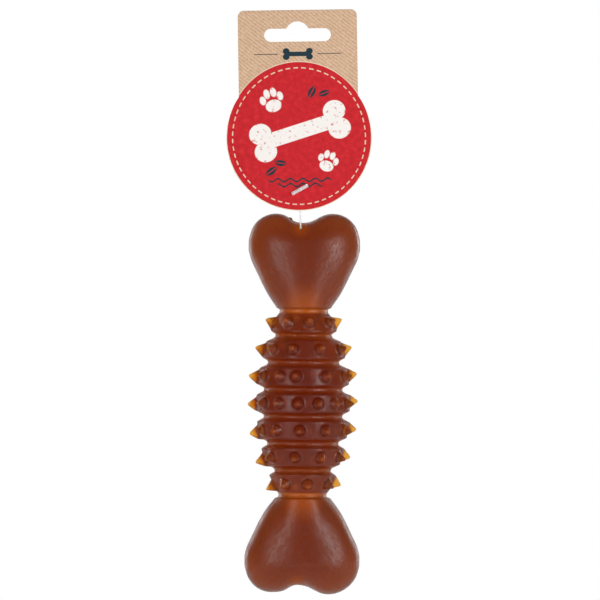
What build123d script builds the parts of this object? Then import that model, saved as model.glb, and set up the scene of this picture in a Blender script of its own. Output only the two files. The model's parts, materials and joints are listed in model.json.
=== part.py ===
# Rubber chew bone with ribs and nubs, hung from a folded card by a tagging pin
import os
from math import asin, atan2, cos, degrees, hypot, radians, sin, sqrt, tan

from build123d import *

os.makedirs("parts", exist_ok=True)

# Sizes are in millimetres. The origin is the middle of the hanging slot and the front faces -Y.

# Hang card, one sheet folded over at its top edge
card_width = 57.2
card_rise = 12.0  # slot middle up to the fold
card_corner = 3.0
leaf_thickness = 0.45
leaf_gap = 0.2  # air between the two leaves
disc_radius = 34.9
disc_drop = 49.4  # slot middle down to the disc's middle
slot_length = 32.0
slot_height = 6.3
hump_width = 10.5
hump_rise = 3.4
pin_hole_diameter = 1.2
pin_hole_lift = 10.1  # disc's bottom edge up to the pin hole
pin_offset = 0.1  # pin hole to the right of the card's middle

# Tagging pin
filament_diameter = 0.8
filament_bend = 2.0
bar_length = 8.8
bar_diameter = 1.7
bar_tilt = 28.0
paddle_length = 9.5
paddle_width = 3.6
paddle_thickness = 0.9
paddle_corner = 0.8
paddle_play = 3.4  # slack between the web's back and the paddle

# Chew bone, barrel and ribs
ribbed_length = 87.4  # neck to neck
rib_end = 6.05  # neck to the middle of the nearest rib
neck_diameter = 23.0
barrel_diameter = 45.1
barrel_arc = 92.0  # radius of the barrel's outline seen from the front
groove_depth = 3.1
groove_width = 3.55  # between the edges of two ribs
groove_floor = 2.3  # width of the groove's flat floor
groove_corner = 0.6
rib_edge_radius = 0.7

# Chew bone, nubs
front_nub_diameter = 6.0
side_nub_diameter = 7.0
nub_height = 4.4
nub_tip_diameter = 1.0
nub_root = 1.2  # how deep a nub is rooted in its rib

# Each rib from the top down: where its front nubs are, in degrees from the front, then the left and
# right nubs at the parting line and how far those sit above the rib's middle
front_nubs = [
    (-32, 10, 56),
    (-48, -15, 24, 63),
    (-58, -31, -9, 30, 63),
    (-55, -31, -6, 18, 41, 65),
    (-61, -35, -4, 29, 64),
    (-50, -11, 26, 62),
    (-34, 9, 54),
]
side_nubs = [(-80, 98), (-84, 94), (-90, 97), (-94, 102), (-92, 100), (-84, 103), (-80, 101)]
side_nub_lifts = [(-0.2, 0.0), (-0.3, 0.1), (-0.5, 0.6), (-0.7, 0.9), (-1.4, 0.7), (-1.6, 0.7), (-1.5, 0.7)]

# Chew bone, heart-shaped ends
heart_height = 47.5  # barrel's end up to the tops of the lobes
neck_band = 1.6  # plain neck between the barrel's end and the heart's foot
foot_diameter = 24.8  # of the heart where it overhangs the neck
foot_slope = 15.0  # of the foot's underside, in degrees
top_heart_width = 53.8
bottom_heart_width = 55.6
lobe_radius = 12.4
shoulder_radius = 18.0
shoulder_bulge = 0.7  # how far the shoulder stands out past the lobe
top_flank_bow = 1.7  # how far the flank swells below a straight line
bottom_flank_bow = 2.5
heart_thickness = 30.0
heart_fullness = 2.0  # 2 makes the heart's plan an ellipse, and more makes it fuller
notch_depth = 4.2
web_hole_drop = 7.0  # lobe tops down to the pin's hole in the web
web_hole_offset = 1.9  # pin's hole to the left of the bone's own middle
neck_stub = 6.0  # the neck's run into each heart
neck_overlap = 0.5  # how far the neck is bedded in what the cut leaves of the heart

# Clearances
card_to_lobes = 1.4  # card's bottom edge down to the lobe tops
card_to_bone = 1.0  # card's back to the front of the hearts
seat_clearance = 0.1  # pin to card
swivel_clearance = 0.05  # bar's stub to the filament's rounded end
bore_clearance = 0.1  # filament to the hole in the web, on the radius

# Places worked out from the sizes
card_half = leaf_gap / 2 + leaf_thickness
card_bottom = -disc_drop - disc_radius
filament_radius = filament_diameter / 2
pin_x = pin_offset
pin_z = card_bottom + pin_hole_lift
filament_y = card_half + seat_clearance + filament_radius
bar_y = -card_half - seat_clearance - bar_diameter / 2
bone_x = pin_x + web_hole_offset
bone_y = card_half + card_to_bone + heart_thickness / 2
lobe_top_z = card_bottom - card_to_lobes
top_neck_z = lobe_top_z - heart_height
bone_z = top_neck_z - ribbed_length / 2
bottom_neck_z = bone_z - ribbed_length / 2
web_z = lobe_top_z - web_hole_drop
neck_radius = neck_diameter / 2
foot_radius = foot_diameter / 2
hang_tilt = degrees(atan2(web_hole_offset, web_z - bone_z))  # brings the bone's middle under its hole
rib_count = len(front_nubs)
rib_pitch = (ribbed_length - 2 * rib_end) / (rib_count - 1)
rib_width = rib_pitch - groove_width


def barrel_radius(z):
    # Radius of the barrel that the rib tops follow, at height z from the bone's middle
    return barrel_diameter / 2 - barrel_arc + sqrt(barrel_arc**2 - z**2)


def rib_height(rib):
    # Height of a rib's middle above the bone's middle, counted from the top rib
    return ((rib_count - 1) / 2 - rib) * rib_pitch


class Heart:
    # Front outline of one heart-shaped end: x is across, u runs from the barrel's end up to the lobe tops
    def __init__(self, width, bow):
        self.half_width = width / 2
        self.bow = bow
        self.lobe_x = self.half_width - lobe_radius - shoulder_bulge
        self.lobe_u = heart_height - lobe_radius
        rise = shoulder_radius - lobe_radius
        self.shoulder_x = self.half_width - shoulder_radius
        self.shoulder_u = self.lobe_u - sqrt(rise**2 - (rise - shoulder_bulge) ** 2)
        # The lobe's arc runs into the shoulder's arc and into the notch's arc
        self.lobe_end_x = self.lobe_x + lobe_radius * (self.lobe_x - self.shoulder_x) / rise
        reach = (self.lobe_x**2 + notch_depth**2) / (2 * notch_depth)
        self.notch_radius = reach - lobe_radius
        self.notch_end_x = self.lobe_x * self.notch_radius / reach
        # The flank runs from the heart's foot to the shoulder's arc, bowed out from a straight line
        inset = foot_radius - self.shoulder_x
        self.foot_drop = self.shoulder_u - neck_band
        lean = asin(shoulder_radius / hypot(inset, self.foot_drop))
        self.flank_angle = lean - atan2(inset, self.foot_drop)
        self.flank_end_x = self.shoulder_x + shoulder_radius * cos(self.flank_angle)

    def top(self, x):
        if x < self.notch_end_x:
            return heart_height - notch_depth + self.notch_radius - sqrt(self.notch_radius**2 - x**2)
        if x < self.lobe_end_x:
            return self.lobe_u + sqrt(lobe_radius**2 - (x - self.lobe_x) ** 2)
        return self.shoulder_u + sqrt(shoulder_radius**2 - (x - self.shoulder_x) ** 2)

    def bottom(self, x):
        if x < foot_radius:
            # The section is as thick as the round foot at the foot's level, and ends inside the barrel
            chord = sqrt(foot_radius**2 - x**2) / self.half_thickness(x)
            return self.shoulder_u - self.foot_drop / sqrt(1 - chord**2)
        if x < self.flank_end_x:
            share = (x - foot_radius) / (self.flank_end_x - foot_radius)
            straight = neck_band + (x - foot_radius) / tan(self.flank_angle)
            return straight - 4 * self.bow * share * (1 - share)
        return self.shoulder_u - sqrt(shoulder_radius**2 - (x - self.shoulder_x) ** 2)

    def half_thickness(self, x):
        share = (x / self.half_width) ** heart_fullness
        return heart_thickness / 2 * (1 - share) ** (1 / heart_fullness)

    def stations(self):
        # Places across the heart where its sections are drawn, from edge to edge
        shares = (0.14, 0.27, 0.41, 0.5, 0.6, 0.74, 0.87, 0.95, 0.994)
        right = [share * self.half_width for share in shares]
        return [-x for x in reversed(right)] + [0.0] + right


def barrel_outline():
    # Corner points of the ribs and grooves from the bottom neck to the top neck, with their radii
    points = [(neck_radius, -ribbed_length / 2)]
    radii = []
    for rib in reversed(range(rib_count)):
        middle = rib_height(rib)
        for z in (middle - rib_width / 2, middle + rib_width / 2):
            points.append((barrel_radius(z), z))
            radii.append(rib_edge_radius)
        if rib > 0:
            for floor_end in (-groove_floor / 2, groove_floor / 2):
                z = middle + rib_pitch / 2 + floor_end
                points.append((barrel_radius(z) - groove_depth, z))
                radii.append(groove_corner)
    points.append((neck_radius, ribbed_length / 2))
    return points, radii


def nub_planes(spots):
    # A plane at each nub's foot, square to the barrel
    planes = []
    for rib, turn, lift in spots:
        z = rib_height(rib) + lift
        slope = asin(z / barrel_arc)
        outward = (sin(radians(turn)), -cos(radians(turn)))
        radius = barrel_radius(z)
        foot = Vector(bone_x + radius * outward[0], bone_y + radius * outward[1], bone_z + z)
        normal = Vector(cos(slope) * outward[0], cos(slope) * outward[1], sin(slope))
        planes.append(Plane(origin=foot, z_dir=normal))
    return planes


# Hang card
with BuildPart() as hang_card:
    with BuildSketch(Plane.YZ):
        fold_z = card_rise - card_half
        slit_height = fold_z - card_bottom
        with Locations((0, fold_z)):
            Rectangle(2 * card_half, slit_height, align=(Align.CENTER, Align.MAX))
            Circle(card_half)
            Rectangle(leaf_gap, slit_height, align=(Align.CENTER, Align.MAX), mode=Mode.SUBTRACT)
            Circle(leaf_gap / 2, mode=Mode.SUBTRACT)
    extrude(amount=max(card_width / 2, disc_radius), both=True)
    with BuildSketch(Plane.XZ):
        with Locations((0, card_rise)):
            header = Rectangle(card_width, card_rise + disc_drop, align=(Align.CENTER, Align.MAX))
        fillet(header.vertices().group_by(Axis.Y)[-1], card_corner)
        with Locations((0, -disc_drop)):
            Circle(disc_radius)
        SlotOverall(slot_length, slot_height, mode=Mode.SUBTRACT)
        with BuildLine():
            hump_left = (-hump_width / 2, slot_height / 2)
            hump_right = (hump_width / 2, slot_height / 2)
            ThreePointArc(hump_left, (0, slot_height / 2 + hump_rise), hump_right)
            Line(hump_right, hump_left)
        make_face(mode=Mode.SUBTRACT)
        with Locations((pin_x, pin_z)):
            Circle(pin_hole_diameter / 2, mode=Mode.SUBTRACT)
    extrude(amount=2 * card_half, both=True, mode=Mode.INTERSECT)

# T-bar of the pin, with the stub that passes through the card
with BuildPart() as pin_t_bar:
    bar_direction = (cos(radians(bar_tilt)), 0, sin(radians(bar_tilt)))
    with Locations(Plane(origin=(pin_x, bar_y, pin_z), z_dir=bar_direction)):
        Cylinder(bar_diameter / 2, bar_length)
    fillet(pin_t_bar.edges().filter_by(GeomType.CIRCLE), bar_diameter / 3)
    stub_end = filament_y - filament_radius - swivel_clearance
    with BuildSketch(Plane(origin=(pin_x, bar_y, pin_z), z_dir=(0, 1, 0))):
        Circle(filament_radius)
    extrude(amount=stub_end - bar_y)

# One nub of each size: a cone on a short straight root
nubs = {}
for diameter in (side_nub_diameter, front_nub_diameter):
    with BuildPart() as nub:
        with BuildSketch(Plane.XZ):
            with BuildLine():
                Polyline(
                    (0, -nub_root),
                    (diameter / 2, -nub_root),
                    (diameter / 2, 0),
                    (nub_tip_diameter / 2, nub_height),
                    (0, nub_height),
                    close=True,
                )
            make_face()
        revolve(axis=Axis.Z)
    nubs[diameter] = nub.part

# Chew bone
top_heart = Heart(top_heart_width, top_flank_bow)
bottom_heart = Heart(bottom_heart_width, bottom_flank_bow)
with BuildPart() as bone:
    bone_axis = Axis((bone_x, bone_y, 0), (0, 0, 1))
    # Each heart is lofted across: a section is half an ellipse above the shoulder's level and half below
    for heart, neck_z, up in ((top_heart, top_neck_z, 1), (bottom_heart, bottom_neck_z, -1)):
        for x in heart.stations():
            middle = (0, heart.shoulder_u)
            thickness = heart.half_thickness(abs(x))
            rise = heart.top(abs(x)) - heart.shoulder_u
            drop = heart.shoulder_u - heart.bottom(abs(x))
            with BuildSketch(Plane(origin=(bone_x + x, bone_y, neck_z), x_dir=(0, 1, 0), z_dir=(up, 0, 0))):
                with BuildLine():
                    EllipticalCenterArc(middle, thickness, rise, 0, arc_size=180)
                    EllipticalCenterArc(middle, thickness, drop, 180, arc_size=180)
                make_face()
        loft()
        # The neck is cut free below the heart's foot
        with BuildSketch(Plane(origin=(bone_x, bone_y, neck_z), x_dir=(1, 0, 0), z_dir=(0, -up, 0))):
            with BuildLine():
                cut_foot = (neck_radius - neck_overlap, -neck_stub)
                cut_reach = heart.half_width
                cut_rise = (cut_reach - cut_foot[0]) * tan(radians(foot_slope))
                Polyline(
                    cut_foot,
                    (cut_foot[0], neck_band),
                    (cut_reach, neck_band + cut_rise),
                    (cut_reach, -neck_stub),
                    close=True,
                )
            make_face()
        revolve(axis=bone_axis, mode=Mode.SUBTRACT)
    with BuildSketch(Plane(origin=(bone_x, bone_y, bone_z), x_dir=(1, 0, 0), z_dir=(0, -1, 0))):
        with BuildLine():
            corners, corner_radii = barrel_outline()
            FilletPolyline(*corners, radius=corner_radii)
            stub_end_z = ribbed_length / 2 + neck_stub
            Polyline(corners[-1], (neck_radius, stub_end_z), (0, stub_end_z))
            Polyline((0, stub_end_z), (0, -stub_end_z), (neck_radius, -stub_end_z), corners[0])
        make_face()
    revolve(axis=bone_axis)
    # The back half's nubs repeat the front half's
    side_spots = []
    front_spots = []
    for rib in range(rib_count):
        side_spots += [(rib, turn, lift) for turn, lift in zip(side_nubs[rib], side_nub_lifts[rib])]
        front_spots += [(rib, turn + half, 0.0) for turn in front_nubs[rib] for half in (0, 180)]
    for spots, diameter in ((side_spots, side_nub_diameter), (front_spots, front_nub_diameter)):
        with Locations(*nub_planes(spots)):
            add(nubs[diameter])
    with Locations(Plane(origin=(pin_x, bone_y, web_z), z_dir=(0, -1, 0))):
        Cylinder(filament_radius + bore_clearance, 2 * heart_thickness, mode=Mode.SUBTRACT)
bone.part = bone.part.rotate(Axis((pin_x, bone_y, web_z), (0, 1, 0)), hang_tilt)

# Where the pin's hole leaves the back of the web
web_top = top_heart.top(web_hole_offset) - top_heart.shoulder_u
web_rise = (heart_height - web_hole_drop - top_heart.shoulder_u) / web_top
web_half = top_heart.half_thickness(web_hole_offset) * sqrt(1 - web_rise**2)
paddle_y = bone_y + web_half + paddle_play

# Filament of the pin, from the card's back down and through the web
with BuildPart() as pin_filament:
    with BuildLine(Plane.YZ.offset(pin_x)):
        FilletPolyline((filament_y, pin_z), (filament_y, web_z), (paddle_y, web_z), radius=filament_bend)
    with BuildSketch(Plane(origin=(pin_x, filament_y, pin_z), z_dir=(0, 0, -1))):
        Circle(filament_radius)
    sweep()
    with Locations((pin_x, filament_y, pin_z)):
        Sphere(filament_radius)

# Paddle of the pin, behind the bone
with BuildPart() as pin_paddle:
    with BuildSketch(Plane.XY.offset(web_z - paddle_thickness / 2)):
        with Locations((pin_x, paddle_y)):
            RectangleRounded(paddle_length, paddle_width, paddle_corner, align=(Align.CENTER, Align.MIN))
    extrude(amount=paddle_thickness)

pieces = {
    "hang_card": hang_card,
    "pin_t_bar": pin_t_bar,
    "pin_filament": pin_filament,
    "pin_paddle": pin_paddle,
    "bone": bone,
}
for name, piece in pieces.items():
    piece.part.label = name
    export_step(piece.part, f"parts/{name}.step")
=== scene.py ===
import json
import math

import bpy
from mathutils import Matrix, Vector


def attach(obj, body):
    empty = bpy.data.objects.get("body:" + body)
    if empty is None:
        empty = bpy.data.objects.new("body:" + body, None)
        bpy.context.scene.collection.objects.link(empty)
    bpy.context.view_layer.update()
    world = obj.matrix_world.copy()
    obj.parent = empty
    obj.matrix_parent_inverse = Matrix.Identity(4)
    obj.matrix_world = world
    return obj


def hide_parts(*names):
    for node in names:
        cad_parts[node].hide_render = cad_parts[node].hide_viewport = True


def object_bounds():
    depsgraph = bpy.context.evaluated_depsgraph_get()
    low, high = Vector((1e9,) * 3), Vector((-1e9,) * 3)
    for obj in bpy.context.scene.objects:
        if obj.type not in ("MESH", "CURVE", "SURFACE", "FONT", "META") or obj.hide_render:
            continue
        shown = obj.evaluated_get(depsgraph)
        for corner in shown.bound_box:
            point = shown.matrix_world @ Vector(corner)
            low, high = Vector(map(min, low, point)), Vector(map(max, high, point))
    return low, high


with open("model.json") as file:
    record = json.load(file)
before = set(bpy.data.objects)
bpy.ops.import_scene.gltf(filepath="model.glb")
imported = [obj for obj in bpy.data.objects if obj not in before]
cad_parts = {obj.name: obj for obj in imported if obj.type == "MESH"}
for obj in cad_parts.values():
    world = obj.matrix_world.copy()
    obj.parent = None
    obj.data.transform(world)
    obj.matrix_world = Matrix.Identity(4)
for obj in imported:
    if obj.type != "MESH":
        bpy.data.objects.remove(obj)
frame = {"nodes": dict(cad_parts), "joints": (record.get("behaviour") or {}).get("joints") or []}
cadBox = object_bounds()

mm = 0.001
mergeGap = 0.001 * mm    # corners of a solid's triangles that are nearer than this are one
jointPlace = {joint["name"]: Vector(joint["pos_m"]) for joint in frame["joints"]}
webHole = jointPlace["bone_swing"]    # the pin's hole through the bone


# small helpers for working as by hand
def deselectAll():
    if bpy.context.object and bpy.context.object.mode != "OBJECT":
        bpy.ops.object.mode_set(mode="OBJECT")
    bpy.ops.object.select_all(action="DESELECT")


def activate(piece):
    deselectAll()
    piece.select_set(True)
    bpy.context.view_layer.objects.active = piece


def addObject(name, data):
    thing = bpy.data.objects.new(name, data)
    bpy.context.scene.collection.objects.link(thing)
    return thing


def addModifier(piece, kind, **settings):    # adds a modifier and applies it at once
    activate(piece)
    modifier = piece.modifiers.new(kind.lower(), kind)
    for key, value in settings.items():
        setattr(modifier, key, value)
    bpy.ops.object.modifier_apply(modifier=modifier.name)


def copyNode(node, name):    # a new piece that starts from a merged copy of a solid
    mesh = frame["nodes"][node].data.copy()
    mesh.materials.clear()
    piece = addObject(name, mesh)
    activate(piece)
    bpy.ops.object.mode_set(mode="EDIT")
    bpy.ops.mesh.select_all(action="SELECT")
    bpy.ops.mesh.remove_doubles(threshold=mergeGap)
    bpy.ops.object.mode_set(mode="OBJECT")
    return piece


def dress(piece, material):    # one finish all over
    piece.data.materials.clear()
    piece.data.materials.append(material)


# small helpers for shader nodes
def newMaterial(name, plain):    # plain is what stays the same all over the surface
    material = bpy.data.materials.new(name)
    material.use_nodes = True
    tree = material.node_tree
    shader = tree.nodes["Principled BSDF"]
    for key, value in plain.items():
        shader.inputs[key].default_value = value
    return material, tree, shader


def plug(tree, socket, value):    # joins a socket to another one, or sets it to a plain value
    if isinstance(value, bpy.types.NodeSocket):
        tree.links.new(value, socket)
    else:
        socket.default_value = value


def calc(tree, operation, *values):
    node = tree.nodes.new("ShaderNodeMath")
    node.operation = operation
    for socket, value in zip(node.inputs, values):
        plug(tree, socket, value)
    return node.outputs[0]


def calcAll(tree, operation, values):    # the same sum all along a list
    total = values[0]
    for value in values[1:]:
        total = calc(tree, operation, total, value)
    return total


def smallest(tree, values):
    return calcAll(tree, "MINIMUM", values)


def largest(tree, values):
    return calcAll(tree, "MAXIMUM", values)


def product(tree, values):
    return calcAll(tree, "MULTIPLY", values)


def vectorCalc(tree, operation, *values):
    node = tree.nodes.new("ShaderNodeVectorMath")
    node.operation = operation
    for socket, value in zip(node.inputs, values):
        plug(tree, socket, value)
    return node.outputs["Value" if operation in ("LENGTH", "DOT_PRODUCT") else "Vector"]


def splitXyz(tree, vector):
    node = tree.nodes.new("ShaderNodeSeparateXYZ")
    plug(tree, node.inputs[0], vector)
    return node.outputs["X"], node.outputs["Y"], node.outputs["Z"]


def joinXyz(tree, x, y, z):
    node = tree.nodes.new("ShaderNodeCombineXYZ")
    for socket, value in zip(node.inputs, (x, y, z)):
        plug(tree, socket, value)
    return node.outputs[0]


def objectCoords(tree):
    return tree.nodes.new("ShaderNodeTexCoord").outputs["Object"]


def inMillimetres(tree, coords):
    return vectorCalc(tree, "MULTIPLY", coords, (1 / mm,) * 3)


def movePattern(tree, coords, place, turn, scale):    # moves, turns and sizes what is drawn on coords
    node = tree.nodes.new("ShaderNodeMapping")
    node.vector_type = "TEXTURE"
    plug(tree, node.inputs["Vector"], coords)
    node.inputs["Location"].default_value = place
    node.inputs["Rotation"].default_value = [math.radians(angle) for angle in turn]
    node.inputs["Scale"].default_value = scale
    return node.outputs[0]


def ramp(tree, value, stops):    # colour ramp with (place, colour) stops
    node = tree.nodes.new("ShaderNodeValToRGB")
    plug(tree, node.inputs["Fac"], value)
    elements = node.color_ramp.elements
    while len(elements) < len(stops):
        elements.new(1.0)
    for element, (place, colour) in zip(elements, stops):
        element.position = place
        element.color = (*colour, 1.0)
    return node.outputs["Color"]


def spread(tree, value, low, high, toLow=0.0, toHigh=1.0, kind="LINEAR"):    # one range onto another
    node = tree.nodes.new("ShaderNodeMapRange")
    node.interpolation_type = kind
    for socket, number in zip(node.inputs, (value, low, high, toLow, toHigh)):
        plug(tree, socket, number)
    return node.outputs["Result"]


def ease(tree, value, *ends):    # the same with a smooth step
    return spread(tree, value, *ends, kind="SMOOTHSTEP")


def blendColours(tree, share, first, second):
    node = tree.nodes.new("ShaderNodeMix")
    node.data_type = "RGBA"
    colours = [socket for socket in node.inputs if socket.type == "RGBA"]
    plug(tree, node.inputs["Factor"], share)
    for socket, colour in zip(colours, (first, second)):
        plug(tree, socket, colour if isinstance(colour, bpy.types.NodeSocket) else (*colour, 1.0))
    return [socket for socket in node.outputs if socket.type == "RGBA"][0]


def noiseAt(tree, coords, size, detail=3.0, roughness=0.55):    # size of a blotch, in the units of coords
    node = tree.nodes.new("ShaderNodeTexNoise")
    plug(tree, node.inputs["Vector"], coords)
    node.inputs["Scale"].default_value = 1 / size
    node.inputs["Detail"].default_value = detail
    node.inputs["Roughness"].default_value = roughness
    return node.outputs["Fac"]


def bumpFrom(tree, height, depth, strength):
    node = tree.nodes.new("ShaderNodeBump")
    node.inputs["Strength"].default_value = strength
    node.inputs["Distance"].default_value = depth
    plug(tree, node.inputs["Height"], height)
    return node.outputs["Normal"]


def newGroup(name, inputs, outputs):
    group = bpy.data.node_groups.new(name, "ShaderNodeTree")
    for label, kind in inputs.items():
        group.interface.new_socket(label, in_out="INPUT", socket_type="NodeSocket" + kind)
    for label, kind in outputs.items():
        group.interface.new_socket(label, in_out="OUTPUT", socket_type="NodeSocket" + kind)
    return group, group.nodes.new("NodeGroupInput").outputs, group.nodes.new("NodeGroupOutput").inputs


def useGroup(tree, group, **values):
    node = tree.nodes.new("ShaderNodeGroup")
    node.node_tree = group
    for key, value in values.items():
        plug(tree, node.inputs[key], value)
    return node.outputs


# fine grain that every surface has, at its own size
grainSet = {"Height": (1.0, 4.0), "Blotch": (0.12, 3.0)}    # how fine against that size, and its detail


def makeGrainGroup():
    inputs = {"Coords": "Vector", "Size": "Float"}
    group, entry, leave = newGroup("fineGrain", inputs, dict.fromkeys(grainSet, "Float"))
    for label, (fineness, detail) in grainSet.items():
        noise = group.nodes.new("ShaderNodeTexNoise")
        plug(group, noise.inputs["Vector"], entry["Coords"])
        plug(group, noise.inputs["Scale"], calc(group, "DIVIDE", fineness, entry["Size"]))
        noise.inputs["Detail"].default_value = detail
        plug(group, leave[label], noise.outputs["Fac"])
    return group


fineGrain = makeGrainGroup()
print("helpers ready")

# chew bone: a moulded rubber skin over the solid's own shape
boneDrop = 84.2    # mm from the pin's hole down to the middle of the bone's length
boneLean = 1.9    # mm that the bone leans to the right over that
boneSet = {
    "voxel": 0.64 * mm,
    "smoothing": 0.5,
    "firstPasses": 2,    # of smoothing, before the skin is drawn onto the solid
    "lastPasses": 1,
    "shadeAngle": 50,
    "closeRadius": 0.55 * mm,    # vertices this near the hole's axis are its wall
    "holeRadius": 0.56 * mm,
    "holeSides": 32,
    "cutterLength": 60 * mm,
    "waveSize": 16 * mm,
    "waveHeight": 0.3 * mm,
    "seamWidth": 0.65 * mm,    # parting line of the mould
    "seamHeight": 0.16 * mm,
    "gateX": -4.4 * mm,    # trimmed gate on the left lobe
    "gateSearch": 0.5 * mm,    # its place is the highest point this near
    "gateRadius": 1.2 * mm,
    "gateHeight": 0.6 * mm,
    "middle": webHole - Vector((0, 0, boneDrop * mm)),
    "axis": Vector((boneLean / boneDrop, 0, 1)).normalized(),
    "barrelRadius": 22.55 * mm,
    "barrelArc": 92 * mm,
    "ribPitch": 12.55 * mm,
    "grooveHalf": (1.95 * mm, 2.6 * mm),    # half the width at the top, in front and at the sides
    "grooveFloor": 0.85 * mm,    # half the width of the floor
    "grooveDepth": 3.5 * mm,
    "nubFoot": (0.05 * mm, 0.8 * mm),    # what stands this proud of a rib is a nub
    "lowNotch": (-4.3 * mm, 0.0, -263.7 * mm),
    "lastRib": 37.65 * mm,    # middle of the end ribs, from the bone's middle
    "ribSpread": 1.05 * mm,    # the end ribs sit this much further out
    "ribFade": (40 * mm, 43.7 * mm),
    "notches": [    # place, reach and push of the soft uneven shrinkage at the two notches
        {"at": (2.2 * mm, -86.5 * mm), "reach": (6 * mm, 5 * mm), "push": (-1.6 * mm, -0.3 * mm)},
        {"at": (1.0 * mm, -264.0 * mm), "reach": (12 * mm, 8 * mm), "push": (-2.4 * mm, -0.5 * mm)},
        {"at": (12.0 * mm, -268.0 * mm), "reach": (9 * mm, 6 * mm), "push": (-0.8 * mm, -0.8 * mm)},
        {"at": (-9.8 * mm, -266.5 * mm), "reach": (3.6 * mm, 4.5 * mm), "push": (0.5 * mm, -1.1 * mm)},
    ],
}


def closePinHole(bone):    # the remesh is coarser than the hole, so the hole is cut again after it
    mesh = bone.data
    reach = boneSet["closeRadius"]
    near = [math.hypot(v.co.x - webHole.x, v.co.z - webHole.z) < reach for v in mesh.vertices]
    activate(bone)
    bpy.ops.object.mode_set(mode="EDIT")
    bpy.ops.mesh.select_mode(type="FACE")
    bpy.ops.mesh.select_all(action="DESELECT")
    bpy.ops.object.mode_set(mode="OBJECT")
    for polygon in mesh.polygons:
        polygon.select = all(near[index] for index in polygon.vertices)
    bpy.ops.object.mode_set(mode="EDIT")
    bpy.ops.mesh.delete(type="ONLY_FACE")
    bpy.ops.mesh.select_all(action="SELECT")
    bpy.ops.mesh.fill_holes(sides=0)
    bpy.ops.mesh.select_all(action="SELECT")
    bpy.ops.mesh.normals_make_consistent(inside=False)
    bpy.ops.object.mode_set(mode="OBJECT")


def easeIn(value, low, high):    # 0 below low, 1 above high, smooth between
    share = min(1.0, max(0.0, (value - low) / (high - low)))
    return share * share * (3 - 2 * share)


def openGrooves(bone):    # leans the walls back without touching the nubs
    axis, pitch, arc = boneSet["axis"], boneSet["ribPitch"], boneSet["barrelArc"]
    front, side = boneSet["grooveHalf"]
    for v in bone.data.vertices:
        away = v.co - boneSet["middle"]
        along = away.dot(axis)
        off = abs(along / pitch % 1.0 - 0.5) * pitch    # from the middle of the nearest groove
        outward = away - axis * along
        half = front + (side - front) * outward.normalized().x ** 2
        if abs(along) > boneSet["lastRib"] or off > half:
            continue
        ribTop = boneSet["barrelRadius"] - arc + math.sqrt(arc * arc - along * along)
        share = min(1.0, (half - off) / (half - boneSet["grooveFloor"]))
        spare = outward.length - ribTop + boneSet["grooveDepth"] * share
        if spare > 0:
            onNub = easeIn(outward.length - ribTop, *boneSet["nubFoot"])
            v.co -= outward.normalized() * spare * (1 - onNub)


def settleShape(bone):    # the ribs spread along the axis and the notches pull to one side
    axis, lastRib = boneSet["axis"], boneSet["lastRib"]
    for v in bone.data.vertices:
        along = (v.co - boneSet["middle"]).dot(axis)
        outwards = max(-1.0, min(1.0, along / lastRib)) * (1 - easeIn(abs(along), *boneSet["ribFade"]))
        v.co += axis * (outwards * boneSet["ribSpread"])
        for notch in boneSet["notches"]:
            aside = (v.co.x - notch["at"][0]) / notch["reach"][0]
            above = (v.co.z - notch["at"][1]) / notch["reach"][1]
            share = math.exp(-aside * aside - above * above)
            v.co.x += notch["push"][0] * share
            v.co.z += notch["push"][1] * share


def raiseMouldMarks(bone):    # the thin seam round the parting plane and the stub of the gate
    width, height = boneSet["seamWidth"], boneSet["seamHeight"]
    normals = [v.normal.copy() for v in bone.data.vertices]
    aim = Vector((boneSet["gateX"], webHole.y))
    near = [v.co.copy() for v in bone.data.vertices if (v.co.xy - aim).length < boneSet["gateSearch"]]
    gate = max(near, key=lambda co: co.z)
    for v, normal in zip(bone.data.vertices, normals):
        off = abs(v.co.y - webHole.y) / width
        lift = height * max(0.0, 1 - off * off)
        away = (v.co - gate).length / boneSet["gateRadius"]
        lift += boneSet["gateHeight"] * max(0.0, 1 - away * away)
        v.co += normal * lift


def cutPinHole(bone):
    deselectAll()
    bpy.ops.mesh.primitive_cylinder_add(
        vertices=boneSet["holeSides"],
        radius=boneSet["holeRadius"],
        depth=boneSet["cutterLength"],
        location=webHole,
        rotation=(math.pi / 2, 0, 0),
    )
    cutter = bpy.context.object
    addModifier(bone, "BOOLEAN", operation="DIFFERENCE", object=cutter, solver="EXACT")
    bpy.data.objects.remove(cutter)


def makeBone():
    bone = copyNode("bone", "chew_bone")
    closePinHole(bone)
    solid = addObject("boneSolid", bone.data.copy())    # keeps the crisp shape to shrink onto
    addModifier(bone, "REMESH", mode="VOXEL", voxel_size=boneSet["voxel"], use_smooth_shade=True)
    addModifier(bone, "SMOOTH", factor=boneSet["smoothing"], iterations=boneSet["firstPasses"])
    addModifier(bone, "SHRINKWRAP", target=solid, wrap_method="NEAREST_SURFACEPOINT")
    openGrooves(bone)
    addModifier(bone, "SMOOTH", factor=boneSet["smoothing"], iterations=boneSet["lastPasses"])
    bpy.data.objects.remove(solid)
    waves = bpy.data.textures.new("rubberWaves", "CLOUDS")
    waves.noise_scale = boneSet["waveSize"]
    addModifier(
        bone, "DISPLACE", texture=waves, texture_coords="LOCAL", strength=boneSet["waveHeight"], mid_level=0.5
    )
    settleShape(bone)
    raiseMouldMarks(bone)
    cutPinHole(bone)
    activate(bone)
    bpy.ops.object.shade_smooth_by_angle(angle=math.radians(boneSet["shadeAngle"]))
    print("bone", len(bone.data.polygons), "faces")
    return bone


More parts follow.
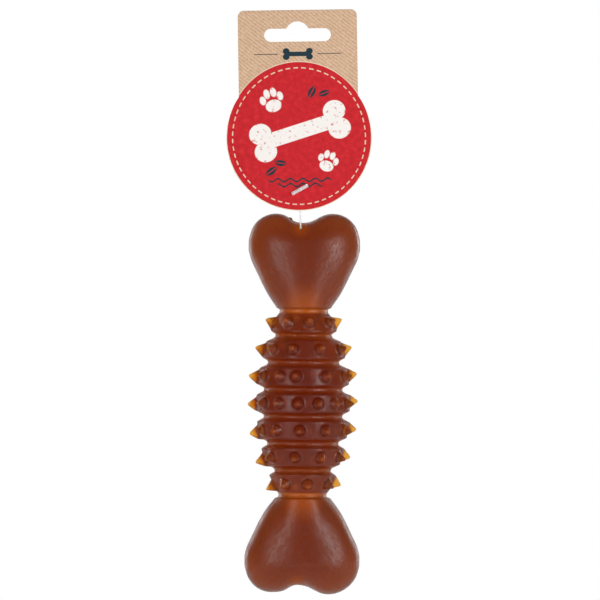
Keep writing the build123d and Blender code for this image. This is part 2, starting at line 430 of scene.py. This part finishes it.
rubberSet = {    # places in mm, measured out from the barrel's rib tops and along from the bone's middle
    "body": [(0.3, (0.245, 0.058, 0.036)), (0.7, (0.31, 0.078, 0.048))],
    "bodyBlotch": 22 * mm,
    "rubbed": (0.46, 0.20, 0.14),    # dry marks rubbed into the skin
    "rubbedShare": 0.2,
    # painted glow: amber of light shining through the thin rubber of groove floors, groove ends, neck,
    # hearts' feet and notches
    "paintedGlow": (0.68, 0.25, 0.055),
    # painted glow: amber of light shining through the side nubs and the nub tips
    "nubGlow": (0.86, 0.45, 0.07),
    # painted shade: dark rings at the nubs' feet and under the hearts' lips
    "ring": (0.13, 0.035, 0.02),
    "barrelRadius": 22.55,
    "barrelArc": 97.2,    # flatter than in boneSet, because the ribs have spread by now
    "barrelEnd": 43.7,
    "ribsStop": -0.8,    # from the barrel's end, as is the next
    "heartStarts": 1.0,
    "steps": {    # smooth steps: from, to, and what they give at both ends where that isn't 0 and 1
        "nubGlow": (0.1, 1.1),    # how proud
        "nubSide": (0.79, 0.93, 0.1, 0.9),    # how far round to the side, with 1 for straight there
        "tip": (2.8, 3.7, 0.0, 0.9),
        "footIn": (0.2, 0.45),
        "footOut": (0.9, 1.6, 1.0, 0.0),
        "footSide": (0.84, 0.95, 1.0, 0.0),
        "lipIn": (1.6, 2.0),    # how far beyond the barrel's end
        "lipOut": (2.2, 2.8, 0.7, 0.0),
        "groove": (-3.1, -2.3, 0.3, 0.0),
        "grooveEnd": (-1.6, -0.3, 0.75, 0.0),
        "grooveSide": (0.9, 0.99),
        "neckIn": (-0.8, -0.4),
        "neckOut": (1.7, 2.1, 1.0, 0.0),
        "neckAcross": (3.0, 9.5, 1.0, 0.4),    # how far off the axis, seen from the front
        "glow": (2.5, 17.0, 0.66, 0.0),
        "glowAcross": (3.0, 10.0, 1.0, 0.0),
        "web": (1.0, 6.0, 0.5, 0.0),    # how far from a notch
        "flank": (0.8, 0.94, 0.0, 0.8),
    },
    "webDull": 1.6,
    "scuffSize": 1.0 * mm,
    "scuffDetail": 4.0,
    "scuffRoughness": 0.7,
    "scuffLength": 3.5,    # against its width
    "scuffTurn": 36,
    "scuffEdge": (0.42, 0.6),
    "scuffHeight": 0.9,    # against the grain's
    "scuffCoat": 0.4,    # what is left of the skin's gloss on a rub mark
    "grooveCoat": 3.0,
    "grain": 0.7 * mm,
    "bump": (0.07 * mm, 0.8),
    "roughness": (0.3, 0.7, 0.3, 0.42),
    "plain": {
        "Transmission Weight": 0.95,
        "IOR": 1.1,    # low, so that light goes nearly straight through the nubs
        "Coat IOR": 1.42,
        "Coat Roughness": 0.36,
    },
    "absorb": (0.875, 0.6875, 0.0625, 1.0),
    "density": 160.0,
}


def formMasks(tree, coords):    # painted glow on the nubs, painted shade in rings at their feet and under the lips, painted glow where the rubber lies low or thin, and what is dull
    def step(name, value):
        return ease(tree, value, *rubberSet["steps"][name])

    axis, arc = tuple(boneSet["axis"]), rubberSet["barrelArc"]
    away = vectorCalc(tree, "SUBTRACT", inMillimetres(tree, coords), tuple(boneSet["middle"] / mm))
    along = vectorCalc(tree, "DOT_PRODUCT", away, axis)
    onAxis = vectorCalc(tree, "MULTIPLY", joinXyz(tree, along, along, along), axis)
    sideways = vectorCalc(tree, "SUBTRACT", away, onAxis)
    out = vectorCalc(tree, "LENGTH", sideways)
    across = calc(tree, "ABSOLUTE", splitXyz(tree, sideways)[0])
    aside = calc(tree, "DIVIDE", across, out)
    length = calc(tree, "ABSOLUTE", along)
    squared = calc(tree, "MULTIPLY_ADD", calc(tree, "MULTIPLY", length, length), -1.0, arc * arc)
    drop = calc(tree, "SQRT", calc(tree, "MAXIMUM", squared, 0.0))
    proud = calc(tree, "SUBTRACT", calc(tree, "ADD", out, arc - rubberSet["barrelRadius"]), drop)
    beyond = calc(tree, "SUBTRACT", length, rubberSet["barrelEnd"])
    onBarrel = calc(tree, "LESS_THAN", beyond, rubberSet["ribsStop"])
    onHeart = calc(tree, "GREATER_THAN", beyond, rubberSet["heartStarts"])

    # painted glow of light through the side nubs and the nub tips
    sideNubGlow = product(tree, [step("nubGlow", proud), step("nubSide", aside), onBarrel])
    tip = product(tree, [step("tip", proud), onBarrel])
    # painted shade round the nubs' feet and under the hearts' lips
    footShade = product(tree, [step("footIn", proud), step("footOut", proud), onBarrel, step("footSide", aside)])
    lipShade = product(tree, [step("lipIn", beyond), step("lipOut", beyond)])
    # groove, grooveEnd, neck and glow are painted glow of light through thin rubber; the groove mask also
    # sets the grooves' gloss
    groove = product(tree, [step("groove", proud), onBarrel])
    grooveEnd = product(tree, [step("grooveEnd", proud), step("grooveSide", aside), onBarrel])
    neck = product(tree, [step("neckIn", beyond), step("neckOut", beyond), step("neckAcross", across)])
    glow = product(tree, [step("glow", beyond), step("glowAcross", across), onHeart])
    webs = []
    for place in (tuple(webHole), boneSet["lowNotch"]):    # painted glow: light through the thin rubber shows amber in both notches
        gap = vectorCalc(tree, "SUBTRACT", coords, place)
        gap = vectorCalc(tree, "MULTIPLY", gap, (1 / mm, 0.0, 1 / mm))
        webs.append(step("web", vectorCalc(tree, "LENGTH", gap)))
    web = largest(tree, webs)
    flank = product(tree, [step("flank", aside), onBarrel])
    return {
        "nubGlow": largest(tree, [sideNubGlow, tip]),
        "ring": largest(tree, [footShade, lipShade]),
        "paintedGlow": largest(tree, [groove, neck, glow, web, grooveEnd]),
        "groove": groove,
        "dull": largest(tree, [flank, calc(tree, "MULTIPLY", web, rubberSet["webDull"])]),
    }


def rubMarks(tree, coords):    # short scuffs, slanting in towards the axis
    away = vectorCalc(tree, "ABSOLUTE", vectorCalc(tree, "SUBTRACT", coords, tuple(boneSet["middle"])))
    slanted = movePattern(
        tree, away, (0, 0, 0), (0, rubberSet["scuffTurn"], 0), (1.0, 1.0, rubberSet["scuffLength"])
    )
    noise = noiseAt(
        tree, slanted, rubberSet["scuffSize"], rubberSet["scuffDetail"], rubberSet["scuffRoughness"]
    )
    return spread(tree, noise, *rubberSet["scuffEdge"])


def makeRubber():
    material, tree, shader = newMaterial("amberRubber", rubberSet["plain"])
    coords = objectCoords(tree)
    grain = useGroup(tree, fineGrain, Coords=coords, Size=rubberSet["grain"])
    masks = formMasks(tree, coords)
    rubbed = rubMarks(tree, coords)
    body = ramp(tree, noiseAt(tree, coords, rubberSet["bodyBlotch"]), rubberSet["body"])
    rubbedShare = calc(tree, "MULTIPLY", rubbed, rubberSet["rubbedShare"])
    body = blendColours(tree, rubbedShare, body, rubberSet["rubbed"])
    # painted glow of light through thin rubber and nubs, then painted shade in the rings
    for name in ("paintedGlow", "nubGlow", "ring"):
        body = blendColours(tree, masks[name], body, rubberSet[name])
    skin = spread(tree, rubbed, 0.0, 1.0, 1.0, rubberSet["scuffCoat"])
    skin = largest(tree, [skin, calc(tree, "MULTIPLY", masks["groove"], rubberSet["grooveCoat"])])
    skin = calc(tree, "MULTIPLY", skin, calc(tree, "SUBTRACT", 1.0, masks["dull"]))
    height = calc(tree, "MULTIPLY_ADD", rubbed, rubberSet["scuffHeight"], grain["Height"])
    plug(tree, shader.inputs["Base Color"], body)
    plug(tree, shader.inputs["Roughness"], spread(tree, grain["Blotch"], *rubberSet["roughness"]))
    plug(tree, shader.inputs["Coat Weight"], skin)    # satin, and rubbed dull except down in the grooves
    plug(tree, shader.inputs["Normal"], bumpFrom(tree, height, *rubberSet["bump"]))
    depths = tree.nodes.new("ShaderNodeVolumeAbsorption")
    depths.inputs["Color"].default_value = rubberSet["absorb"]
    depths.inputs["Density"].default_value = rubberSet["density"]
    tree.links.new(depths.outputs["Volume"], tree.nodes["Material Output"].inputs["Volume"])
    return material


bone = makeBone()
dress(bone, makeRubber())
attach(bone, "bone")
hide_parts("bone")
print("chew bone ready")

# tagging pin: milky nylon
nylonSet = {
    "colours": [(0.3, (0.90, 0.90, 0.89)), (0.7, (0.98, 0.98, 0.97))],
    "grain": 0.4 * mm,
    "bump": (0.02 * mm, 0.5),
    "roughness": (0.3, 0.7, 0.22, 0.38),
    "plain": {"Transmission Weight": 0.5, "IOR": 1.2},
}


def makeNylon():
    material, tree, shader = newMaterial("milkyNylon", nylonSet["plain"])
    grain = useGroup(tree, fineGrain, Coords=objectCoords(tree), Size=nylonSet["grain"])
    plug(tree, shader.inputs["Base Color"], ramp(tree, grain["Blotch"], nylonSet["colours"]))
    plug(tree, shader.inputs["Roughness"], spread(tree, grain["Height"], *nylonSet["roughness"]))
    plug(tree, shader.inputs["Normal"], bumpFrom(tree, grain["Height"], *nylonSet["bump"]))
    return material


nylon = makeNylon()
for node in ("pin_t_bar", "pin_filament", "pin_paddle"):
    dress(frame["nodes"][node], nylon)
print("tagging pin ready")

# hang card: a kraft sheet with a printed disc, all in flat inks
cardSet = {    # places and sizes in mm, with marks placed from the disc's middle
    "front": -0.5,    # only what lies in front of this has print
    "discMiddle": -49.4,
    "discRadius": 34.9,
    "discRise": 0.948,    # the upper half of the disc is drawn out by this
    "discRim": 0.35,    # cream edge round the red
    "discBlur": 0.08,
    "markBlur": 0.12,
    "kraft": [(0.0, (0.46, 0.275, 0.155)), (0.45, (0.62, 0.405, 0.26)), (1.0, (0.77, 0.56, 0.40))],
    "stripePitch": 1.45,
    "stripeTurn": 38.0,
    "stripeShade": 0.2,
    "wanderSize": 6.0,    # the stripes aren't quite straight
    "wander": 5.0,
    "fleckSize": 0.9,
    "fleckDetail": 4.0,
    "fleckShade": (1.3, -0.15),
    "red": [(0.3, (0.50, 0.007, 0.014)), (0.55, (0.60, 0.011, 0.019)), (0.75, (0.65, 0.024, 0.034))],
    "redBlotch": 2.4,
    "inkDetail": 5.0,
    "wornSize": 1.9,    # flecks where the white ink is thin
    "wornRoughness": 0.65,
    "wornEdge": (0.58, 0.64, 1.0, 0.25),
    "cream": (0.79, 0.67, 0.49),
    "white": (0.92, 0.87, 0.83),
    "teal": (0.008, 0.032, 0.045),
    "stitch": {"radius": 31.9, "count": 56, "share": 0.58, "width": 0.5},
    "boneShaft": (18.0, 3.6),    # half its length and height
    "boneKnob": ((18.6, 4.4, 0), (5.4, 5.0, 1)),    # middle and half size of an oval
    "pawOvals": [    # the pad, the outer toes and the inner toes
        ((0, -1.3, 0), (2.5, 1.9, 1)),
        ((-2.75, 1.1, 0), (0.95, 1.35, 1)),
        ((2.75, 1.1, 0), (0.95, 1.35, 1)),
        ((-1.05, 2.75, 0), (0.95, 1.45, 1)),
        ((1.05, 2.75, 0), (0.95, 1.45, 1)),
    ],
    "leaf": {"radius": 4.6, "offset": 3.0, "midrib": 0.25},
    "bones": [{"at": (0.5, 3.2), "turn": 17, "size": 1.0}],
    "paws": [
        {"at": (-12.5, 17.5), "turn": 16, "size": 1.55},
        {"at": (13.5, -12.0), "turn": -18, "size": 1.35},
    ],
    "leaves": [
        {"at": (6.5, 22.0), "turn": 62, "size": 1.0},
        {"at": (12.3, 21.3), "turn": 20, "size": 0.9},
        {"at": (-13.5, -15.8), "turn": 35, "size": 1.0},
        {"at": (-9.0, -12.0), "turn": -8, "size": 0.9},
    ],
    "waves": [{"up": -20.2, "half": 15.0}, {"up": -22.6, "half": 10.5}],
    "waveTurn": 1.05,    # radians for each mm
    "waveHeight": 0.75,
    "waveHalf": 0.42,    # half the line's width
    "badge": {"at": (0.0, 40.3), "turn": 0, "size": 0.3},    # small bone in the header
    "rules": {"up": 40.3, "start": 9.5, "end": 21.0, "width": 0.35},
    "grain": 0.5 * mm,
    "bump": (0.02 * mm, 0.5),
    "roughness": (0.3, 0.7, 0.5, 0.66),
    "plain": {"Specular IOR Level": 0.25},    # uncoated card hardly shines
}


def makeSpotGroup():    # how far a place is outside an oval
    inputs = dict.fromkeys(("Place", "Middle", "Half"), "Vector")
    group, entry, leave = newGroup("ovalSpot", inputs, {"Outside": "Float"})
    away = vectorCalc(group, "SUBTRACT", entry["Place"], entry["Middle"])
    away = vectorCalc(group, "DIVIDE", away, entry["Half"])
    outside = calc(group, "SUBTRACT", vectorCalc(group, "LENGTH", away), 1.0)
    plug(group, leave["Outside"], calc(group, "MULTIPLY", outside, splitXyz(group, entry["Half"])[0]))
    return group


def newMark(name):
    return newGroup(name, {"Place": "Vector"}, {"Outside": "Float"})


def makePawGroup(ovalSpot):    # a pad with four toes
    group, entry, leave = newMark("pawPrint")
    spots = []
    for middle, half in cardSet["pawOvals"]:
        spots.append(useGroup(group, ovalSpot, Place=entry["Place"], Middle=middle, Half=half)["Outside"])
    plug(group, leave["Outside"], smallest(group, spots))
    return group


def makeBoneMarkGroup(ovalSpot):    # a shaft with two knobs at each end
    group, entry, leave = newMark("boneMark")
    (halfLength, halfHeight), (middle, half) = cardSet["boneShaft"], cardSet["boneKnob"]
    folded = vectorCalc(group, "ABSOLUTE", entry["Place"])
    across, up, _ = splitXyz(group, folded)
    pastEnd = calc(group, "SUBTRACT", across, halfLength)
    shaft = largest(group, [pastEnd, calc(group, "SUBTRACT", up, halfHeight)])
    knob = useGroup(group, ovalSpot, Place=folded, Middle=middle, Half=half)["Outside"]
    plug(group, leave["Outside"], smallest(group, [shaft, knob]))
    return group


def makeLeafGroup():    # two arcs that meet in points, with a bare midrib
    group, entry, leave = newMark("leafMark")
    leaf = cardSet["leaf"]
    across, up, _ = splitXyz(group, entry["Place"])
    high = calc(group, "ABSOLUTE", up)
    arc = vectorCalc(group, "LENGTH", joinXyz(group, across, calc(group, "ADD", high, leaf["offset"]), 0.0))
    rib = calc(group, "SUBTRACT", leaf["midrib"], high)
    plug(group, leave["Outside"], largest(group, [calc(group, "SUBTRACT", arc, leaf["radius"]), rib]))
    return group


def inked(tree, outside, blur=cardSet["markBlur"]):    # 1 inside a mark and 0 outside it
    return spread(tree, outside, -blur, blur, 1.0, 0.0)


def printMarks(tree, place, group, marks):    # every copy of one mark, each moved, turned and sized
    copies = []
    for mark in marks:
        moved = movePattern(tree, place, (*mark["at"], 0), (0, 0, mark["turn"]), (mark["size"],) * 3)
        copies.append(useGroup(tree, group, Place=moved)["Outside"])
    return smallest(tree, copies)


def stitchRing(tree, across, up, out):
    ring = cardSet["stitch"]
    turn = calc(tree, "DIVIDE", calc(tree, "ARCTAN2", up, across), 2 * math.pi)
    step = calc(tree, "FRACT", calc(tree, "MULTIPLY", turn, ring["count"]))
    inStitch = calc(tree, "LESS_THAN", step, ring["share"])
    aside = calc(tree, "ABSOLUTE", calc(tree, "SUBTRACT", out, ring["radius"]))
    return calc(tree, "MULTIPLY", inked(tree, calc(tree, "SUBTRACT", aside, ring["width"] / 2)), inStitch)


def waveLines(tree, across, up):
    swell = calc(tree, "SINE", calc(tree, "MULTIPLY", across, cardSet["waveTurn"]))
    level = calc(tree, "SUBTRACT", up, calc(tree, "MULTIPLY", swell, cardSet["waveHeight"]))
    lines = []
    for wave in cardSet["waves"]:
        aside = calc(tree, "ABSOLUTE", calc(tree, "SUBTRACT", level, wave["up"]))
        beyond = calc(tree, "SUBTRACT", calc(tree, "ABSOLUTE", across), wave["half"])
        lines.append(largest(tree, [calc(tree, "SUBTRACT", aside, cardSet["waveHalf"]), beyond]))
    return smallest(tree, lines)


def headerRules(tree, across, up):    # a thin line each side of the header's badge
    rules = cardSet["rules"]
    middle, half = (rules["start"] + rules["end"]) / 2, (rules["end"] - rules["start"]) / 2
    aside = calc(tree, "ABSOLUTE", calc(tree, "SUBTRACT", up, rules["up"]))
    along = calc(tree, "ABSOLUTE", calc(tree, "SUBTRACT", calc(tree, "ABSOLUTE", across), middle))
    aside = calc(tree, "SUBTRACT", aside, rules["width"] / 2)
    return largest(tree, [aside, calc(tree, "SUBTRACT", along, half)])


def kraftColour(tree, place):    # ribbed brown paper, its ribs running down to the right
    turn = math.radians(cardSet["stripeTurn"])
    across, up, _ = splitXyz(tree, place)
    across = calc(tree, "MULTIPLY", across, math.sin(turn))
    over = calc(tree, "ADD", across, calc(tree, "MULTIPLY", up, math.cos(turn)))
    wander = calc(tree, "MULTIPLY", noiseAt(tree, place, cardSet["wanderSize"]), cardSet["wander"])
    wave = calc(tree, "SINE", calc(tree, "MULTIPLY_ADD", over, 2 * math.pi / cardSet["stripePitch"], wander))
    fleck = noiseAt(tree, place, cardSet["fleckSize"], cardSet["fleckDetail"])
    shade = calc(tree, "MULTIPLY_ADD", fleck, *cardSet["fleckShade"])
    return ramp(tree, calc(tree, "MULTIPLY_ADD", wave, cardSet["stripeShade"], shade), cardSet["kraft"])


def makeCardPrint():
    material, tree, shader = newMaterial("printedCard", cardSet["plain"])
    coords = objectCoords(tree)
    x, y, z = splitXyz(tree, inMillimetres(tree, coords))
    up = calc(tree, "SUBTRACT", z, cardSet["discMiddle"])
    place = joinXyz(tree, x, up, 0.0)
    rise = calc(tree, "MULTIPLY_ADD", calc(tree, "GREATER_THAN", up, 0.0), cardSet["discRise"] - 1.0, 1.0)
    out = vectorCalc(tree, "LENGTH", joinXyz(tree, x, calc(tree, "MULTIPLY", up, rise), 0.0))
    onFront = calc(tree, "LESS_THAN", y, cardSet["front"])
    red = ramp(tree, noiseAt(tree, place, cardSet["redBlotch"], cardSet["inkDetail"]), cardSet["red"])
    thin = noiseAt(tree, place, cardSet["wornSize"], cardSet["inkDetail"], cardSet["wornRoughness"])
    worn = spread(tree, thin, *cardSet["wornEdge"])

    ovalSpot = makeSpotGroup()
    boneMark, pawPrint, leafMark = makeBoneMarkGroup(ovalSpot), makePawGroup(ovalSpot), makeLeafGroup()
    bones = printMarks(tree, place, boneMark, cardSet["bones"])
    paws = printMarks(tree, place, pawPrint, cardSet["paws"])
    leaves = printMarks(tree, place, leafMark, cardSet["leaves"])
    badge = printMarks(tree, place, boneMark, [cardSet["badge"]])
    whiteMarks = smallest(tree, [bones, paws])
    tealMarks = smallest(tree, [leaves, waveLines(tree, x, up), badge, headerRules(tree, x, up)])
    overDisc = calc(tree, "SUBTRACT", out, cardSet["discRadius"])
    overRed = calc(tree, "SUBTRACT", out, cardSet["discRadius"] - cardSet["discRim"])
    layers = [    # from the paper up
        (inked(tree, overDisc, cardSet["discBlur"]), cardSet["cream"]),
        (inked(tree, overRed, cardSet["discBlur"]), red),
        (stitchRing(tree, x, up, out), cardSet["cream"]),
        (calc(tree, "MULTIPLY", inked(tree, whiteMarks), worn), cardSet["white"]),
        (inked(tree, tealMarks), cardSet["teal"]),
    ]
    colour = kraftColour(tree, joinXyz(tree, x, z, y))
    for share, ink in layers:
        colour = blendColours(tree, calc(tree, "MULTIPLY", share, onFront), colour, ink)
    grain = useGroup(tree, fineGrain, Coords=coords, Size=cardSet["grain"])
    plug(tree, shader.inputs["Base Color"], colour)
    plug(tree, shader.inputs["Roughness"], spread(tree, grain["Blotch"], *cardSet["roughness"]))
    plug(tree, shader.inputs["Normal"], bumpFrom(tree, grain["Height"], *cardSet["bump"]))
    return material


dress(frame["nodes"]["hang_card"], makeCardPrint())
print("hang card ready")

# camera: straight on, with the photograph's small roll
cameraSet = {
    "distance": 3.0,
    "field": 0.288,    # width of the view at the object
    "aimX": -0.69 * mm,
    "aimZ": -127.2 * mm,
    "roll": 0.85,
    "sensor": 36.0,
    "far": 50.0,
}


def makeCamera():
    data = bpy.data.cameras.new("camera")
    data.sensor_width = cameraSet["sensor"]
    data.lens = cameraSet["sensor"] * cameraSet["distance"] / cameraSet["field"]
    data.clip_end = cameraSet["far"]
    camera = addObject("camera", data)
    place = Matrix.Translation((cameraSet["aimX"], -cameraSet["distance"], cameraSet["aimZ"]))
    tilt = Matrix.Rotation(math.radians(cameraSet["roll"]), 4, "Y")
    level = Matrix.Rotation(math.pi / 2, 4, "X")
    camera.matrix_world = place @ tilt @ level
    bpy.context.scene.camera = camera


makeCamera()

# studio: soft boxes in front, narrow lamps behind for the rims, a pale floor and a white surround
studioSet = {
    "middle": Vector((0, 0, -0.17)),
    "boxes": {    # angle from the front, distance, width, height and power
        "leftSoftBox": (-34, 1.2, 0.40, 0.80, 6.0),
        "rightSoftBox": (45, 1.2, 0.36, 0.80, 9.5),
        "leftStrip": (-136, 0.9, 0.16, 0.9, 3.0),
        "rightStrip": (136, 0.9, 0.16, 0.9, 3.0),
    },
    "ambient": 0.3,
    "dim": 0.12,    # the room round the backdrop, as gloss shows it
    "backdrop": (0.72, 0.92),    # how squarely behind the object the white begins
    "floorDrop": 60 * mm,
    "floorRadius": 0.9,
    "floorSides": 96,
    "floorGlow": 0.3,
    "floorPlain": {
        "Base Color": (0.9, 0.9, 0.9, 1.0),
        "Roughness": 0.8,
        "Emission Color": (1.0, 1.0, 1.0, 1.0),
    },
}


def makeSoftBoxes():
    for name, (angle, distance, width, height, power) in studioSet["boxes"].items():
        data = bpy.data.lights.new(name, "AREA")
        data.shape = "RECTANGLE"
        data.size = width
        data.size_y = height
        data.energy = power
        lamp = addObject(name, data)
        toward = Vector((math.sin(math.radians(angle)), -math.cos(math.radians(angle)), 0))
        lamp.location = studioSet["middle"] + toward * distance
        lamp.rotation_euler = (-toward).to_track_quat("-Z", "Y").to_euler()
        lamp.visible_camera = False
        lamp.visible_transmission = False    # no lamp shows through the rubber


def makeFloor():
    deselectAll()
    bpy.ops.mesh.primitive_circle_add(
        vertices=studioSet["floorSides"],
        radius=studioSet["floorRadius"],
        fill_type="NGON",
        location=(0, 0, cadBox[0].z - studioSet["floorDrop"]),
    )
    floor = bpy.context.object
    floor.name = "floor"
    bpy.ops.object.transform_apply(location=True)
    material, tree, shader = newMaterial("paleFloor", studioSet["floorPlain"])
    rays = tree.nodes.new("ShaderNodeLightPath").outputs
    seen = largest(tree, [rays["Is Camera Ray"], rays["Is Glossy Ray"], rays["Is Transmission Ray"]])
    plug(tree, shader.inputs["Emission Strength"], calc(tree, "MULTIPLY", seen, studioSet["floorGlow"]))
    dress(floor, material)


def makeWorld():
    world = bpy.data.worlds.new("whiteStudio")
    bpy.context.scene.world = world
    world.use_nodes = True
    tree = world.node_tree
    back = tree.nodes["Background"]
    rays = tree.nodes.new("ShaderNodeLightPath").outputs
    _, toBack, _ = splitXyz(tree, tree.nodes.new("ShaderNodeTexCoord").outputs["Generated"])
    mirrored = spread(tree, toBack, *studioSet["backdrop"], studioSet["dim"], 1.0)
    strength = spread(tree, rays["Is Glossy Ray"], 0.0, 1.0, studioSet["ambient"], mirrored)
    seen = largest(tree, [rays["Is Camera Ray"], rays["Is Transmission Ray"]])
    back.inputs["Color"].default_value = (1.0, 1.0, 1.0, 1.0)
    plug(tree, back.inputs["Strength"], spread(tree, seen, 0.0, 1.0, strength, 1.0))


makeSoftBoxes()
makeFloor()
makeWorld()
bpy.context.scene.view_settings.view_transform = "Standard"
print("studio ready")
